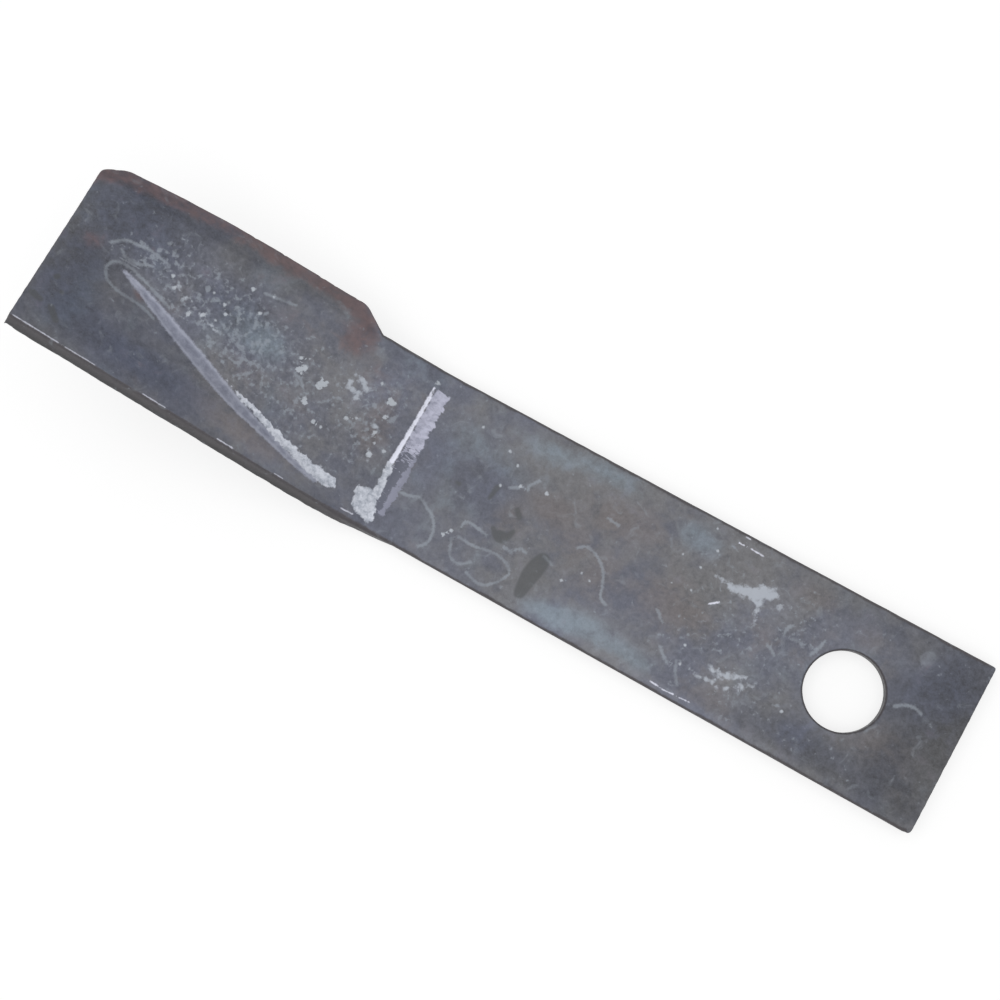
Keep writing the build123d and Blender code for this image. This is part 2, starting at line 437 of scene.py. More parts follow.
VEINS = [
    [(269, 22), (262, 21.6), (258, 18.5), (252, 21.8), (246, 24.5), (242, 29), (240, 36), (241, 41), (244, 44)],
    [(230, 31), (228, 35), (226, 40.5), (220, 42), (216, 39.5), (214, 37.5)],
    [(227, 28), (216, 28.8), (206, 26.2), (197, 27.3), (191, 31.5), (193, 37), (198, 43.5), (205, 46.5), (213, 43.5)],
    [(228, 22.5), (228, 18.5), (224, 18), (213, 19.8)],
    [(201, 20.8), (196, 21.5)],
    [(195, 19.3), (193.5, 17), (189, 17.6)],
    [(205, -13.4), (206, -16), (202, -21.5)],
    [(215, -10), (210, -12.6)],
    [(165, 1.2), (161, -2.2), (154, -0.8), (146, 5.2), (142, 14), (141, 19.3), (136, 21.6)],
    [(179, 14.5), (173, 16.4)],
    [(158, -21.4), (151, -20.7)],
    [(110, 10), (104, 14.7)],
    [(98.7, 27), (94.8, 30.5), (91, 33)],
    [(87, 30), (84.5, 36), (80.5, 41)],
    [(42.6, -11.4), (43.3, -15), (40.7, -18)],
    [(47.8, -2), (44.7, -0.7), (42.2, 1)],
    [(38, -11.6), (34, -12), (31.6, -11.2)],
    [(21.8, -19), (22.8, -13.7), (25, -9)],
    [(-27, -6), (-34, -11), (-41, -9.5)],
    [(474, -18.5), (468, -24), (462, -24.5), (454, -25.8), (445, -24)],
    [(467, -18), (464, -15), (457, -15), (449, -18.5)],
    [(470, -4.5), (468, -11), (461, -12), (454, -11), (444, -8), (430, -3.5)],
    [(469, -3.4), (467, 1.3), (460, 4), (451, 4), (442, 4.4), (435, 6.5)],
    [(389, -36.8), (379, -38.3), (371, -39.9)],
    [(353, -6.5), (349, -5.7), (346, -2.6)],
]
# Painted highlights: thin bright lines where the edges' rounding catches the light, partly worn bright metal, and one
# bright streak on the top
PAINTED_GLINTS = [
    [(85.8, -48.9, 0.7), (83, -48.7, 0.5)],
    [(87.8, -44.1, 0.7), (84.6, -44.2, 0.9)],
    [(80.7, -44.3, 0.5), (76, -44, 0.8), (72.6, -44, 0.7)],
    [(86.7, -6.2, 0.7), (84.4, -8, 1.0), (82, -10, 0.9)],
    [(94, 46.5, 0.7), (89.2, 46.7, 0.7)],
    [(86.6, 47.1, 0.5), (79.8, 46.6, 0.7)],
    [(76.5, 46.6, 0.5), (70, 46, 0.6)],
    [(499, 49.6, 0.4), (486, 49.6, 0.7), (472, 49.7, 0.5)],
    [(468, 49.8, 0.4), (450, 49.8, 0.5)],
    [(421, 49.7, 0.5), (414, 49.7, 0.8), (407, 49.8, 0.5)],
    [(374, 49.5, 0.6), (364, 49.5, 0.8)],
    [(337, 49.5, 0.5), (331, 49.5, 0.5)],
    [(294, 46.5, 0.6), (286, 46.2, 0.7)],
]
SPOTS = [
    (112, -23.7, 1.3), (96, -34.7, 1.2), (100, -22, 1.4), (102, -45.4, 1.1), (84.3, 30.2, 1.5), (86.9, 19.7, 1.1),
    (98.5, -8.4, 1.0), (110, -6.8, 1.0), (232, 27.2, 1.7), (235, 31.2, 2.2), (217, -23, 1.6), (225, -28, 1.8),
    (210, -13.3, 2.0), (195, -16.6, 1.9), (220, -8.5, 1.3), (164, 21.8, 1.5), (156, 12.6, 1.3), (150, 14.4, 1.2),
    (245, -33, 1.5), (351, -10.2, 5.0), (337, -9, 5.4), (354, -16, 1.6), (350, -17.8, 1.4), (384, -37.5, 2.0),
    (386, -26, 1.8), (280.5, -42.5, 2.6), (308, -26.4, 1.6), (298, -20.2, 4.2), (297, -11, 2.8), (288, 6.4, 2.2),
    (298, 0, 2.6), (295, 5, 2.2), (294.5, 13, 3.2), (316, 1, 1.9), (311, -2, 1.6), (341, 4, 3.6), (331, 12, 2.6),
    (326, 12, 2.2), (412, -9.5, 3.0), (405, -10, 1.7), (420, -5.5, 2.6), (402, -16, 1.7), (405, -20, 1.6),
    (433, -14.5, 1.9), (396, -35.6, 1.7), (356, 30, 1.6), (437, -19.5, 1.8), (413, -23, 1.6), (24, 26, 1.8),
]
CLUSTERS = [
    [(91, -22.5, 2.5), (86, -21.8, 4), (81, -21.2, 6), (75, -21.5, 8), (69, -22.5, 10), (62, -26, 12), (56.5, -28, 7)],
    [(63, -21, 6), (61, -14.5, 5), (59, -9, 3)],
    [(52.6, -24.2, 5), (46.8, -25, 4)],
    [(78.3, 29.7, 2.2), (75, 30.6, 3.4), (71, 31.4, 4), (64.5, 29.5, 5)],
    [(70.6, 22.6, 3.4), (67, 25, 4), (62, 25, 6), (57, 22.5, 6), (50, 20, 4)],
    [(57.7, 30.5, 4), (50.5, 25, 5), (44, 22, 4)],
    [(61.4, 31, 2.4), (59.7, 35, 2)],
    [(325, -16, 5), (321, -22, 6.5), (315, -21, 6.5), (313, -16.5, 5.5), (319, -14, 6), (324, -15, 5)],
    [(317, -13, 4.5), (315, -8, 4)],
    [(300, -27, 4), (297, -24, 3)],
    [(296, 10, 3), (293.5, 15, 4.5)],
    [(299, -3, 3.4), (297, 2, 4.0)],
    [(434, -17, 3), (424, -12, 4), (412, -9, 5), (402, -5, 3)],
]
STAINS = [
    [(221, -7, 3.4), (222, 0.4, 2.4)],
    [(205, -1.2, 3.0), (202, 2.0, 3.4)],
    [(212, 14.2, 2.4), (208, 18, 4.6), (203.5, 17.6, 5.0), (201, 11, 3.0)],
    [(208, 15, 3.0), (204, 15, 4.0)],
    [(178.5, 17, 8.5), (180, 23, 11), (181, 31, 9.5), (181, 39, 6.5)],
    [(241, 1.8, 2.4), (243, 1.8, 2.0)],
    [(489, 16, 3.6), (489.5, 16.5, 3.6)],
    [(483, 23, 2.4), (483.5, 23, 2.4)],
    [(496, 32, 4.0), (491, 33, 3.4)],
    [(484, 34, 4.0), (479, 39, 3.6)],
]

# Soft areas, mostly painted light and shade with some tone of the scale: ovals of (x, y, half length, half breadth,
# strength); the darker ends are painted shade and the lighter strips along the trailing edges are painted highlights
PAINTED_LIGHT_AND_TONE = [
    (-54, -6, 38, 66, -0.52), (-2, 40, 58, 17, -0.34), (10, -44, 40, 10, -0.16), (140, 38, 36, 10, 0.26),
    (165, 43, 16, 6, 0.16), (200, -38, 40, 9, 0.10), (476, -34, 38, 30, -0.46), (420, -46, 60, 10, -0.20),
    (484, 18, 24, 30, -0.26), (432, 34, 40, 12, -0.20), (300, -22, 18, 20, 0.20), (66, -22, 20, 12, 0.16),
    (60, 26, 20, 12, 0.16), (229, -3, 28, 20, -0.14), (340, 43, 34, 9, 0.36), (60, 47, 120, 3, 0.26), (372, -12, 18, 14, 0.06),
    (325, -15, 20, 22, 0.18), (375, 37, 28, 10, 0.26), (400, -24, 30, 18, -0.20), (35, -10, 14, 24, -0.08),
]
TEAL = [
    (162, 42, 18, 7, 0.9), (138, 38, 24, 8, 1), (203, -39, 20, 8, 0.8), (169, -44, 24, 7, 0.8), (246, -22, 18, 12, 0.6),
    (218, -18, 14, 8, 0.5), (108, -36, 16, 9, 0.8), (388, -17, 18, 12, 0.8), (372, -12, 14, 10, 0.8), (106, 40, 14, 6, 0.7),
    (474, 22, 9, 26, 0.6),
]
BROWN = [
    (207, 5, 12, 12, 0.8), (192, -12, 16, 9, 0.8), (177, -8, 20, 14, 0.7), (150, 8, 24, 16, 0.8), (148, -26, 30, 14, 1),
    (108, 2, 20, 18, 0.9), (88, 5, 14, 10, 0.7), (-28, 16, 24, 14, 0.8), (298, -4, 10, 22, 1), (374, 6, 16, 8, 0.6),
    (360, 37, 40, 9, 0.9), (36, -38, 18, 8, 0.7), (66, 40, 26, 7, 0.6), (380, -28, 14, 9, 0.6), (0, -32, 14, 8, 0.8),
]
BLUE = [
    (474, -34, 36, 28, 1), (484, 16, 22, 30, 0.9), (430, 34, 44, 13, 1), (-45, -22, 26, 26, 0.8), (404, -24, 40, 16, 0.6),
    (262, -2, 18, 30, 0.5), (224, -6, 20, 16, 0.6), (10, 36, 40, 12, 0.5), (8, -34, 14, 14, 0.4), (12, 30, 16, 14, 0.5),
]
RUST = [(334, -41, 13, 12, 1.0), (483, -15, 9, 6, 0.6), (447, -1, 5, 4, 0.7), (312, -30, 10, 10, 0.35), (360, -34, 14, 8, 0.3)]
BUSY = [
    (408, -18, 44, 24, 1), (440, -24, 26, 14, 0.8), (380, -2, 30, 22, 0.9), (335, 0, 40, 34, 0.7), (300, -10, 16, 34, 0.8),
    (70, 0, 46, 46, 0.6), (30, -20, 20, 24, 0.4), (20, 34, 40, 18, 0.3),
]


def smooth_line(points):
    """The same line with its corners cut twice."""
    line = np.array(points, float)
    for _ in range(2):
        early = line[:-1] * 0.75 + line[1:] * 0.25
        late = line[:-1] * 0.25 + line[1:] * 0.75
        middle = np.stack([early, late], axis=1).reshape(-1, line.shape[1])
        line = np.concatenate([line[:1], middle, line[-1:]])
    return line


def towards(x, y, strokes):
    """How far inside the nearest stroke each place is, and (dx, dy, half width) to its centre line."""
    inside = np.full(x.shape, -FAR)
    way = np.zeros(x.shape + (3,))
    way[..., 0] = 2 * FAR
    for points in strokes:
        line = smooth_line(points)
        (x0, y0), (x1, y1) = line[:, :2].min(axis=0), line[:, :2].max(axis=0)
        near = (x > x0 - FAR) & (x < x1 + FAR) & (y > y0 - FAR) & (y < y1 + FAR)
        x_near, y_near = x[near], y[near]
        best, best_way = inside[near], way[near]
        for (ax, ay, aw), (bx, by, bw) in zip(line[:-1], line[1:]):
            dx, dy = bx - ax, by - ay
            share = np.clip(((x_near - ax) * dx + (y_near - ay) * dy) / (dx * dx + dy * dy + 1e-9), 0, 1)
            to_x, to_y = ax + share * dx - x_near, ay + share * dy - y_near
            half = (aw + share * (bw - aw)) / 2
            deeper = half - np.hypot(to_x, to_y) > best
            best = np.where(deeper, half - np.hypot(to_x, to_y), best)
            best_way[deeper] = np.stack([to_x, to_y, half], axis=-1)[deeper]
        inside[near], way[near] = best, best_way
    return inside, way


def inside_polygon(x, y, corners):
    """How far inside a convex outline each place is; its corners run clockwise."""
    distances = []
    for (ax, ay), (bx, by) in zip(corners, corners[1:] + corners[:1]):
        cross = (bx - ax) * (y - ay) - (by - ay) * (x - ax)
        distances.append(-cross / np.hypot(bx - ax, by - ay))
    return np.min(distances, axis=0)


def soft_areas(x, y, ovals):
    """The summed strength of soft ovals at each place."""
    total = 0.0 * x
    for cx, cy, rx, ry, strength in ovals:
        total += strength * np.exp(-1.2 * (((x - cx) / rx) ** 2 + ((y - cy) / ry) ** 2) ** 1.3)
    return total


def normals_of(points, quads):
    """Vertex normals, from the quads that meet there."""
    across = points[quads[:, 2]] - points[quads[:, 0]]
    other = points[quads[:, 3]] - points[quads[:, 1]]
    faces = np.cross(across, other)
    normals = np.zeros_like(points)
    for corner in range(4):
        np.add.at(normals, quads[:, corner], faces)
    return normals / np.maximum(np.linalg.norm(normals, axis=1), 1e-12)[:, None]


def top_marks(x, y):
    """The marks on the top: millimetres inside their outlines, ways to their lines, or soft shares."""
    single = lambda stroke: towards(x, y, [stroke])[0]
    veins, to_vein = towards(x, y, [[(px, py, VEIN_WIDTH) for px, py in vein] for vein in VEINS])
    glints, to_glint = towards(x, y, PAINTED_GLINTS)
    spots, to_spot = towards(x, y, [[spot, spot] for spot in SPOTS])
    near_edge = leading_line(x) - y
    forged = ease(x, FLARE_X - 6, FLARE_X + 14)
    return {
        "line": single(FOLD_LINE),
        "broken": np.maximum(single(FOLD_BROKEN), inside_polygon(x, y, BLOB)),
        "stripe": single(FOLD_STRIPE),
        "band": np.minimum(single(FOLD_BAND), FOLD_BAND_REACH - np.abs(y)),
        "worn": 1 - ease(y, -18, 16),
        "lift": single(LIFT_BAND),
        "chips": single(LIFT_CHIPS),
        "veins": veins,
        "to_vein": to_vein,
        "glints": glints,
        "to_glint": to_glint,
        "spots": spots,
        "to_spot": to_spot,
        "cluster": towards(x, y, CLUSTERS)[0],
        "stain": towards(x, y, STAINS)[0],
        "painted_light_and_tone": soft_areas(x, y, PAINTED_LIGHT_AND_TONE),
        "teal": soft_areas(x, y, TEAL),
        "brown": soft_areas(x, y, BROWN),
        "blue": soft_areas(x, y, BLUE),
        "busy": np.minimum(soft_areas(x, y, BUSY), 1),
        "rust": np.minimum(ease(near_edge, -13, -4) * forged + soft_areas(x, y, RUST), 1),
    }


SOFT_FIELDS = ("worn", "painted_light_and_tone", "teal", "brown", "blue", "busy", "rust")


def skin_fields(flat, around):
    """All that the finish reads at each vertex; the marks are on the top alone."""
    x, y = flat[:, 0], flat[:, 1]
    on_top = around < 0.7
    fields = {"around": around}
    for name, values in top_marks(x, y).items():
        off = 0.0 if name in SOFT_FIELDS else -FAR
        if values.ndim == 1:
            values = np.where(on_top, values, off)
        fields[name] = values
    at_edge = ease(leading_line(x) - y, -9, -2) * ease(x, FLARE_X - 6, FLARE_X + 14)
    fields["rust"] = np.maximum(fields["rust"], np.where(on_top, 0, 0.8 * at_edge))
    fields["low"] = np.clip(flat[:, 2] / THICK, 0, 1)
    return fields


def relief(flat, around, fields):
    """How deep the surface lies under its true shape, in millimetres: waves, die marks and rough cuts."""
    x, y, h = flat.T
    side = fade(np.abs(around - 1), 1.0)
    face = 1 - side
    seed = np.where(around > 1, 40, 0)
    waves = 0.0
    for size, height, number in ((48, 0.10, 11), (15, 0.05, 12), (4.5, 0.03, 13), (2.2, 0.02, 14)):
        waves = waves + height * (1 + wander(x + 300 * seed, y, size, number))
    depth = face * waves
    pressed = np.maximum(fields["line"], np.maximum(fields["broken"], fields["chips"]))
    depth += face * 0.22 * ease(pressed + 0.8 * wander(x, y, 3.0, 15), -0.6, 1.2)
    pressed = np.maximum(fields["band"], fields["lift"])
    depth += face * 0.14 * ease(pressed + 1.2 * wander(x, y, 4.0, 16), -1.0, 1.5)
    depth += face * 0.06 * ease(fields["cluster"] + 1.2 * wander(x, y, 4.0, 17), -0.8, 1.0)
    along = np.where(np.abs(y) > HALF - 3, x, 2 * y)
    cut = (x < -TO_END + 3) | (x > tip_line(y) - 6)
    streaks = 0.10 * (1 + wander(along, 0.15 * h, 1.4, 21)) + 0.10 * (1 + wander(along, h, 5.0, 22))
    torn = 0.16 * (1 + wander(along, h, 2.0, 23)) * ease(THICK - h, 4, 7)
    rolled = 0.06 * (1 + wander(along, h, 20.0, 24)) + 0.03 * (1 + wander(along, h, 3.0, 25))
    depth += side * np.where(cut, streaks + torn, rolled)
    forged = ease(x, FLARE_X - 6, FLARE_X + 10) * ease(leading_line(x) - y, -14, -2)
    hammer = 0.26 * (1 + wander(along, 0 * h, 17.0, 31)) + 0.10 * (1 + wander(along, h, 6.0, 32))
    nicks = 0.35 * ease(wander(along, 0 * h, 3.0, 33), 0.55, 0.95)
    depth += forged * ~cut * (hammer + nicks * side)
    return depth


def add_field(mesh, name, values):
    if values.ndim == 2:
        field = mesh.attributes.new(name, "FLOAT_VECTOR", "POINT")
        field.data.foreach_set("vector", values.astype(np.float32).ravel())
    else:
        field = mesh.attributes.new(name, "FLOAT", "POINT")
        field.data.foreach_set("value", values.astype(np.float32))


def make_blade():
    """The blade's mesh object, bent, roughened and in metres, inside the solid's box."""
    points, quads = blade_sheet()
    flat, around = points[:, :3], points[:, 3]
    fields = skin_fields(flat, around)
    shape = bent(flat)
    shape -= normals_of(shape, quads) * relief(flat, around, fields)[:, None]
    low, high = (np.array(corner) / MM for corner in cad_box)
    shape = np.clip(shape, low, high)
    mesh = bpy.data.meshes.new("blade_skin")
    mesh.from_pydata((shape * MM).tolist(), [], quads.tolist())
    for polygon in mesh.polygons:
        polygon.use_smooth = True
    add_field(mesh, "flat", flat)
    for name, values in fields.items():
        add_field(mesh, name, values)
    blade = bpy.data.objects.new("blade_skin", mesh)
    bpy.context.scene.collection.objects.link(blade)
    return blade


def srgb(red, green, blue):
    """A colour as seen on screen, from 0 to 255, in the linear values that a shader takes."""
    channels = [value / 255 for value in (red, green, blue)]
    linear = [c / 12.92 if c <= 0.04045 else ((c + 0.055) / 1.055) ** 2.4 for c in channels]
    return (*linear, 1.0)


class Nodes:
    """A node tree written as calls that take and give sockets."""

    def __init__(self, tree):
        self.tree = tree

    def add(self, kind, inputs, **settings):
        node = self.tree.nodes.new(kind)
        for name, value in settings.items():
            setattr(node, name, value)
        for key, value in inputs.items():
            if isinstance(value, bpy.types.NodeSocket):
                self.tree.links.new(value, node.inputs[key])
            else:
                node.inputs[key].default_value = value
        return node

    def math(self, operation, a, b=0.0):
        return self.add("ShaderNodeMath", {0: a, 1: b}, operation=operation).outputs[0]

    def plus(self, *values):
        total = values[0]
        for value in values[1:]:
            total = self.math("ADD", total, value)
        return total

    def times(self, a, b):
        return self.math("MULTIPLY", a, b)

    def field(self, name):
        return self.add("ShaderNodeAttribute", {}, attribute_name=name).outputs["Fac"]

    def place(self, shift=0.0, stretch=(1, 1, 1)):
        """The flat place in millimetres, moved and stretched."""
        flat = self.add("ShaderNodeAttribute", {}, attribute_name="flat").outputs["Vector"]
        inputs = {"Vector": flat, "Location": (shift, 2 * shift, 0), "Scale": stretch}
        return self.add("ShaderNodeMapping", inputs).outputs[0]

    def noise(self, size, shift=0.0, detail=3.0, roughness=0.55, warp=0.0, stretch=(1, 1, 1)):
        """Noise about 0, mostly within -1 and 1, with features of that many millimetres."""
        inputs = {
            "Vector": self.place(shift, stretch), "Scale": 1 / size, "Detail": detail,
            "Roughness": roughness, "Distortion": warp,
        }
        value = self.add("ShaderNodeTexNoise", inputs).outputs["Fac"]
        return self.times(self.plus(value, -0.5), 4.0)

    def ease(self, value, low, high):
        inputs = {"Value": value, "From Min": low, "From Max": high}
        return self.add("ShaderNodeMapRange", inputs, interpolation_type="SMOOTHSTEP").outputs[0]

    def ragged(self, name, noise, amount, soft):
        """A mark's share from 0 to 1, its outline made ragged by noise."""
        return self.ease(self.plus(self.field(name), self.times(noise, amount)), -soft, soft)

    def thin(self, name, noise, amount, soft):
        """The same for thin marks, from the way to their centre line, which stays exact between vertices."""
        way = self.add("ShaderNodeAttribute", {}, attribute_name="to_" + name[:-1]).outputs["Vector"]
        parts = self.add("ShaderNodeSeparateXYZ", {0: way}).outputs
        across = self.add("ShaderNodeCombineXYZ", {0: parts[0], 1: parts[1]}).outputs[0]
        away = self.add("ShaderNodeVectorMath", {0: across}, operation="LENGTH").outputs["Value"]
        half = self.times(parts[2], self.plus(1.0, self.times(noise, amount)))
        inside = self.plus(half, self.times(away, -1.0))
        return self.times(self.ease(inside, -soft, soft), self.ease(self.field(name), -1.6, -1.0))

    def mix(self, share, a, b, kind="MIX"):
        inputs = {0: share, 6: a, 7: b}
        return self.add("ShaderNodeMix", inputs, data_type="RGBA", blend_type=kind).outputs[2]

    def grey(self, value):
        return self.add("ShaderNodeCombineColor", {0: value, 1: value, 2: value}).outputs[0]


class Grain:
    """The noises that the marks share, from coarse to fine."""

    def __init__(self, n):
        self.clouds = n.noise(17, 4, detail=4, warp=0.6)
        self.mottle = n.noise(6.5, 3, detail=4, warp=0.4)
        self.blotch = n.noise(2.7, 2, detail=3, warp=0.3)
        self.fine = n.noise(1.0, 1, detail=2)
        self.rag = n.plus(n.times(self.blotch, 0.6), n.times(self.fine, 0.45))
        self.lumps = n.plus(n.noise(3.4, 21, detail=2, warp=0.2), n.times(self.blotch, 0.35))
        self.wisps = n.noise(9, 33, detail=5, warp=0.9)


def scale_tone(n, grain):
    """Mill scale: drifts between violet, grey, brown and teal, clouded, mottled and grained, under painted light and
    shade.
    """
    uneven = n.plus(n.times(grain.clouds, 0.35), n.times(grain.mottle, 0.25))
    drift = n.ease(n.plus(n.noise(60, 10, warp=0.4), uneven), -0.7, 0.7)
    tone = n.mix(drift, srgb(*VIOLET_SCALE), srgb(*GREY_SCALE))
    cool = n.ease(n.plus(n.noise(34, 50, detail=4, warp=0.6), uneven), 0.1, 1.3)
    tone = n.mix(n.times(cool, 0.55), tone, srgb(*TEAL_SCALE))
    warm = n.ease(n.plus(n.noise(24, 70, detail=4, warp=0.6), uneven), 0.2, 1.4)
    tone = n.mix(n.times(warm, 0.6), tone, srgb(*BROWN_SCALE))
    areas = (("brown", BROWN_SCALE, 0.7), ("teal", TEAL_SCALE, 0.8), ("blue", BLUE_SCALE, 0.75))
    for name, colour, strength in areas:
        share = n.ease(n.plus(n.field(name), uneven), 0.0, 1.2)
        tone = n.mix(n.times(share, strength), tone, srgb(*colour))
    busy = n.plus(0.15, n.times(n.field("busy"), 0.15))
    mottled = n.plus(n.times(grain.clouds, 0.15), n.times(grain.mottle, 0.17), n.times(grain.fine, 0.10))
    # The soft areas' painted light and shade brighten and darken the scale, together with its mottling
    painted_light_and_tone = n.plus(1.0, n.field("painted_light_and_tone"), mottled, n.times(grain.blotch, busy))
    return n.mix(1.0, tone, n.grey(painted_light_and_tone), "MULTIPLY")


def pale_marks(n, grain, tone):
    """Lighter scale: specks, clusters, spots and thin veins. Gives the tone and how much is covered."""
    tone = n.mix(n.times(n.ease(grain.wisps, 0.25, 1.1), 0.38), tone, srgb(*PALE_SCALE))
    specks = n.ease(n.plus(grain.lumps, n.times(n.field("busy"), 0.75)), 0.7, 1.5)
    tone = n.mix(n.times(specks, 0.6), tone, srgb(*PALE_SCALE))
    vein = n.times(n.thin("veins", grain.rag, 0.8, 0.7), n.ease(grain.clouds, -1.4, 0.3))
    tone = n.mix(n.times(vein, 0.6), tone, srgb(*PALE_SCALE))
    cluster = n.plus(n.times(n.field("cluster"), 0.40), n.times(grain.lumps, 0.85))
    cluster = n.ease(cluster, 0.1, 1.3)
    tone = n.mix(n.times(cluster, 0.8), tone, srgb(*CLUSTER_TONE))
    spot = n.thin("spots", n.plus(grain.lumps, n.times(grain.fine, 0.4)), 0.75, 0.5)
    tone = n.mix(n.times(spot, 0.8), tone, srgb(*SPOT_TONE))
    return tone, n.math("MAXIMUM", n.math("MAXIMUM", cluster, spot), n.times(vein, 0.6))


def fold_marks(n, grain, tone):
    """Metal bared by the bending dies along both folds, and painted highlights along the edges. Gives the tone and the
    share of bare metal and painted highlight.
    """
    teeth = n.noise(3.4, 90, detail=3, warp=0.5, stretch=(0.6, 1.2, 1))
    curls = n.noise(1.9, 110, detail=2, warp=1.0, stretch=(0.5, 1.1, 1))
    band = n.ragged("band", teeth, 1.7, 0.5)
    bared = n.ease(n.plus(n.times(n.field("worn"), 2.2), curls), 0.45, 1.3)
    inside = n.mix(n.ease(n.plus(teeth, n.times(grain.fine, 0.3)), -1.2, 0.8), srgb(*DIE_DULL), srgb(*DIE_BRIGHT))
    inside = n.mix(bared, srgb(*DIE_SHADOW), inside)
    tone = n.mix(n.times(band, 0.9), tone, inside)
    stripe = n.ragged("stripe", teeth, 1.5, 0.5)
    tone = n.mix(n.times(stripe, 0.8), tone, srgb(*DIE_DULL))
    lift = n.ragged("lift", grain.rag, 0.7, 0.8)
    rim = n.ease(n.plus(n.field("lift"), n.times(grain.rag, 0.6)), 2.4, 0.6)
    lift_light = n.plus(n.times(rim, 0.55), n.ease(n.plus(grain.mottle, n.times(grain.rag, 0.5)), -1.2, 1.6))
    tone = n.mix(n.times(lift, 0.8), tone, n.mix(lift_light, srgb(*LIFT_DARK), srgb(*LIFT_LIGHT)))
    chips = n.ease(n.plus(n.field("chips"), n.times(grain.lumps, 1.3)), -0.1, 0.8)
    broken = n.ease(n.plus(n.field("broken"), n.times(grain.lumps, 1.1)), -0.5, 0.6)
    rough_bare = n.math("MAXIMUM", chips, broken)
    rough_light = n.ease(n.plus(n.times(grain.blotch, 0.8), n.times(grain.fine, 0.3)), -0.9, 0.6)
    rough_tone = n.mix(rough_light, srgb(*BARE_DULL), srgb(*BARE_BRIGHT))
    tone = n.mix(n.times(rough_bare, 0.92), tone, rough_tone)
    line = n.ragged("line", grain.rag, 0.5, 0.5)
    # Painted highlights along the edges, in the same bright tone as the bared die line
    painted_glint = n.times(n.thin("glints", grain.rag, 1.2, 0.35), 0.75)
    bright = n.math("MAXIMUM", line, painted_glint)
    tone = n.mix(n.times(bright, 0.95), tone, srgb(*LINE_TONE))
    bare_metal_and_glints = n.math("MAXIMUM", n.math("MAXIMUM", rough_bare, bright), n.times(n.math("MAXIMUM", band, lift), 0.5))
    return tone, bare_metal_and_glints


VIOLET_SCALE = (92, 95, 108)
GREY_SCALE = (101, 101, 104)
TEAL_SCALE = (110, 121, 131)
BLUE_SCALE = (86, 92, 112)
BROWN_SCALE = (101, 95, 95)
PALE_SCALE = (140, 147, 156)
CLUSTER_TONE = (172, 178, 188)
SPOT_TONE = (178, 184, 192)
DIE_SHADOW = (84, 87, 101)
DIE_DULL = (132, 134, 151)
DIE_BRIGHT = (178, 179, 197)
LIFT_DARK = (112, 116, 133)
LIFT_LIGHT = (160, 164, 180)
BARE_DULL = (150, 156, 168)
BARE_BRIGHT = (200, 204, 214)
LINE_TONE = (222, 224, 238)
RUST_DARK = (86, 72, 76)
RUST_LIGHT = (112, 90, 90)
STAIN_TONE = (76, 78, 80)
# Painted shade on the sides, edge rounding and hole wall, darkening to near black towards the underside
SIDE_PAINTED_SHADE = (74, 70, 73)
SIDE_BOTTOM_PAINTED_SHADE = (16, 15, 17)


def make_scaled_steel():
    """Blue-grey mill scale with bare, pale, stained and rusty marks, painted shade on the sides and painted highlights
    on the edges.
    """
    material = bpy.data.materials.new("scaled_steel_skin")
    material.use_nodes = True
    n = Nodes(material.node_tree)
    n.tree.nodes.clear()
    grain = Grain(n)

    tone = scale_tone(n, grain)
    patchy = n.plus(n.times(grain.clouds, 0.45), n.times(grain.mottle, 0.25))
    rust = n.ease(n.plus(n.field("rust"), patchy), 0.15, 1.15)
    rust_tone = n.mix(n.ease(grain.mottle, -0.9, 0.9), srgb(*RUST_DARK), srgb(*RUST_LIGHT))
    tone = n.mix(n.times(rust, 0.75), tone, rust_tone)
    stain = n.ragged("stain", grain.rag, 0.6, 0.8)
    tone = n.mix(n.times(stain, 0.7), tone, srgb(*STAIN_TONE))
    # Sides and edge rounding: painted shade, darker towards the underside, with real rust mixed in at the forged edge
    around = n.math("ABSOLUTE", n.plus(n.field("around"), -1.0))
    side = n.ease(n.plus(around, n.times(grain.rag, 0.06)), 0.98, 0.62)
    side_shade_and_rust = n.mix(n.ease(n.field("low"), 0.05, 0.75), srgb(*SIDE_BOTTOM_PAINTED_SHADE), srgb(*SIDE_PAINTED_SHADE))
    side_shade_and_rust = n.mix(n.ease(n.field("rust"), 0.2, 0.9), side_shade_and_rust, srgb(*RUST_DARK))
    side_shade_and_rust = n.mix(1.0, side_shade_and_rust, n.grey(n.plus(1.0, n.times(grain.rag, 0.18))), "MULTIPLY")
    tone = n.mix(n.times(side, 0.9), tone, side_shade_and_rust)
    tone, pale = pale_marks(n, grain, tone)
    tone, bare_metal_and_glints = fold_marks(n, grain, tone)

    rough = n.plus(0.52, n.times(grain.mottle, 0.05), n.times(n.plus(rust, stain), 0.08), n.times(bare_metal_and_glints, -0.14))
    height = n.plus(
        n.times(n.noise(0.6, 5, detail=2), 0.012),
        n.times(grain.mottle, 0.03),
        n.times(grain.blotch, 0.02),
        n.times(grain.fine, 0.014),
        n.times(n.math("MAXIMUM", pale, bare_metal_and_glints), -0.05),
    )
    bump = n.add("ShaderNodeBump", {"Height": height, "Distance": MM, "Strength": 0.8})
    inputs = {"Base Color": tone, "Metallic": 0.25, "Roughness": rough, "Normal": bump.outputs[0]}
    shader = n.add("ShaderNodeBsdfPrincipled", inputs)
    n.add("ShaderNodeOutputMaterial", {"Surface": shader.outputs[0]})
    return material


FLOOR_SIZE = 12.0
FLOOR_ALBEDO = 0.6
FLOOR_SHADE = 0.35
FLOOR_GLOW = 0.72
LAMP_SIZE = 2.6
LAMP_HEIGHT = 2.2
LAMP_PLACE = (0.35, 0.1)
LAMP_POWER = 25.0
SKY = 0.5


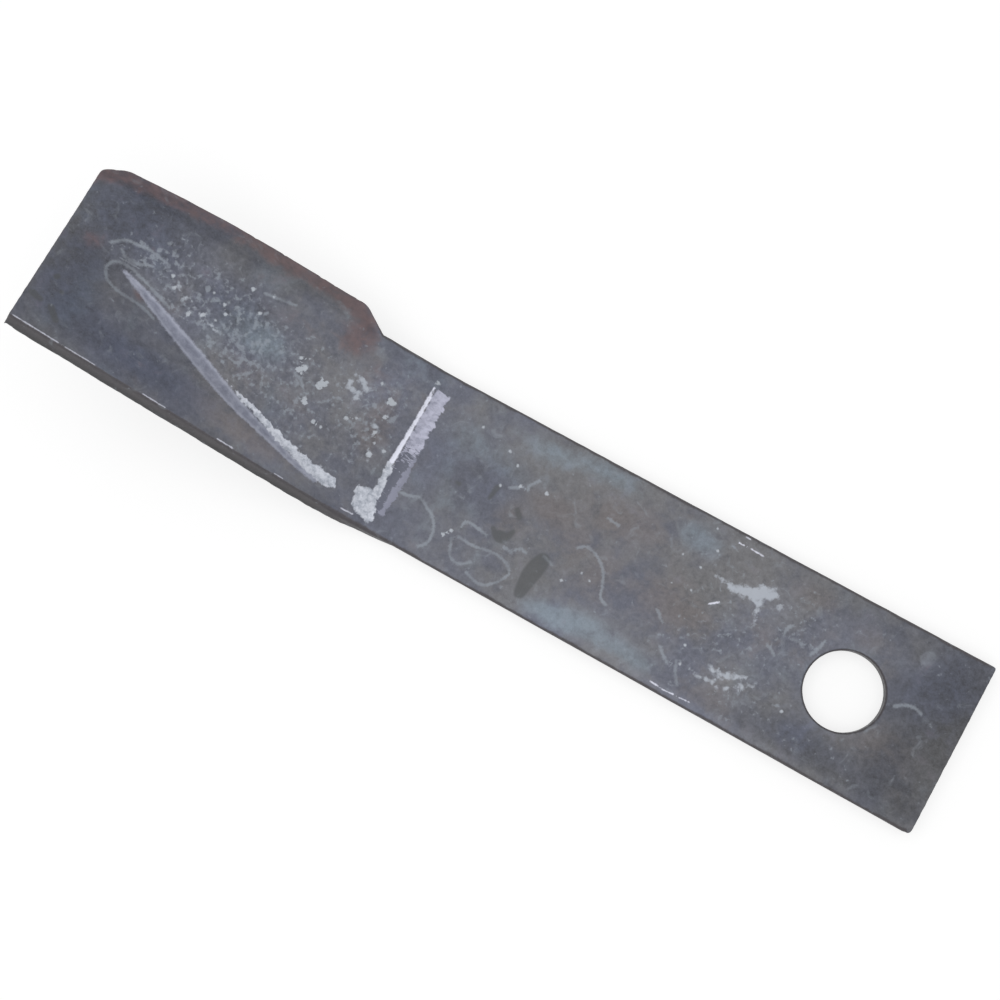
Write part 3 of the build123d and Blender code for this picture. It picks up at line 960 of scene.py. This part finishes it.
def seen_directly(n):
    """1 for the rays that should find a white studio: camera, glossy and transmission rays."""
    path = n.add("ShaderNodeLightPath", {}).outputs
    rays = n.math("MAXIMUM", path["Is Camera Ray"], path["Is Glossy Ray"])
    return n.math("MAXIMUM", rays, path["Is Transmission Ray"])


def make_floor():
    """A pale floor that looks white where it is lit and keeps the blade's soft shadow."""
    half = FLOOR_SIZE / 2
    mesh = bpy.data.meshes.new("floor")
    mesh.from_pydata([(-half, -half, 0), (half, -half, 0), (half, half, 0), (-half, half, 0)], [], [(0, 1, 2, 3)])
    floor = bpy.data.objects.new("floor", mesh)
    floor.location = (0.2, 0, -0.0002)
    bpy.context.scene.collection.objects.link(floor)
    material = bpy.data.materials.new("floor_paint")
    material.use_nodes = True
    n = Nodes(material.node_tree)
    n.tree.nodes.clear()
    lit = n.add("ShaderNodeBsdfDiffuse", {"Color": (FLOOR_ALBEDO, FLOOR_ALBEDO, FLOOR_ALBEDO, 1)}).outputs[0]
    shaded = n.add("ShaderNodeBsdfDiffuse", {"Color": (FLOOR_SHADE, FLOOR_SHADE, FLOOR_SHADE, 1)}).outputs[0]
    glow = n.add("ShaderNodeEmission", {"Strength": FLOOR_GLOW}).outputs[0]
    seen = n.add("ShaderNodeAddShader", {0: shaded, 1: glow}).outputs[0]
    both = n.add("ShaderNodeMixShader", {0: seen_directly(n), 1: lit, 2: seen}).outputs[0]
    n.add("ShaderNodeOutputMaterial", {"Surface": both})
    mesh.materials.append(material)


def make_light():
    """One large soft lamp overhead in an even sky."""
    data = bpy.data.lights.new("lamp", "AREA")
    data.shape = "SQUARE"
    data.size = LAMP_SIZE
    data.energy = LAMP_POWER
    lamp = bpy.data.objects.new("lamp", data)
    lamp.location = (*LAMP_PLACE, LAMP_HEIGHT)
    bpy.context.scene.collection.objects.link(lamp)
    world = bpy.data.worlds.new("studio")
    world.use_nodes = True
    n = Nodes(world.node_tree)
    n.tree.nodes.clear()
    strength = n.plus(SKY, n.times(seen_directly(n), 1 - SKY))
    sky = n.add("ShaderNodeBackground", {"Color": (1, 1, 1, 1), "Strength": strength})
    n.add("ShaderNodeOutputWorld", {"Surface": sky.outputs[0]})
    bpy.context.scene.world = world


CAMERA_PLACE = (75.5, 48.9, 931.7)
CAMERA_RIGHT = (-0.86665, -0.48751, -0.10612)
CAMERA_DOWN = (-0.47548, 0.87146, -0.12037)
CAMERA_LENS = 59.594


def make_camera():
    right = Vector(CAMERA_RIGHT).normalized()
    back = right.cross(-Vector(CAMERA_DOWN)).normalized()
    up = back.cross(right)
    turn = Matrix((right, up, back)).transposed().to_4x4()
    data = bpy.data.cameras.new("camera")
    data.sensor_width = 36.0
    data.lens = CAMERA_LENS
    camera = bpy.data.objects.new("camera", data)
    camera.matrix_world = Matrix.Translation(Vector(CAMERA_PLACE) * MM) @ turn
    bpy.context.scene.collection.objects.link(camera)
    bpy.context.scene.camera = camera


blade = make_blade()
blade.data.materials.append(make_scaled_steel())
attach(blade, "root")
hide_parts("blade")
make_floor()
make_light()
make_camera()
bpy.context.scene.view_settings.view_transform = "Standard"
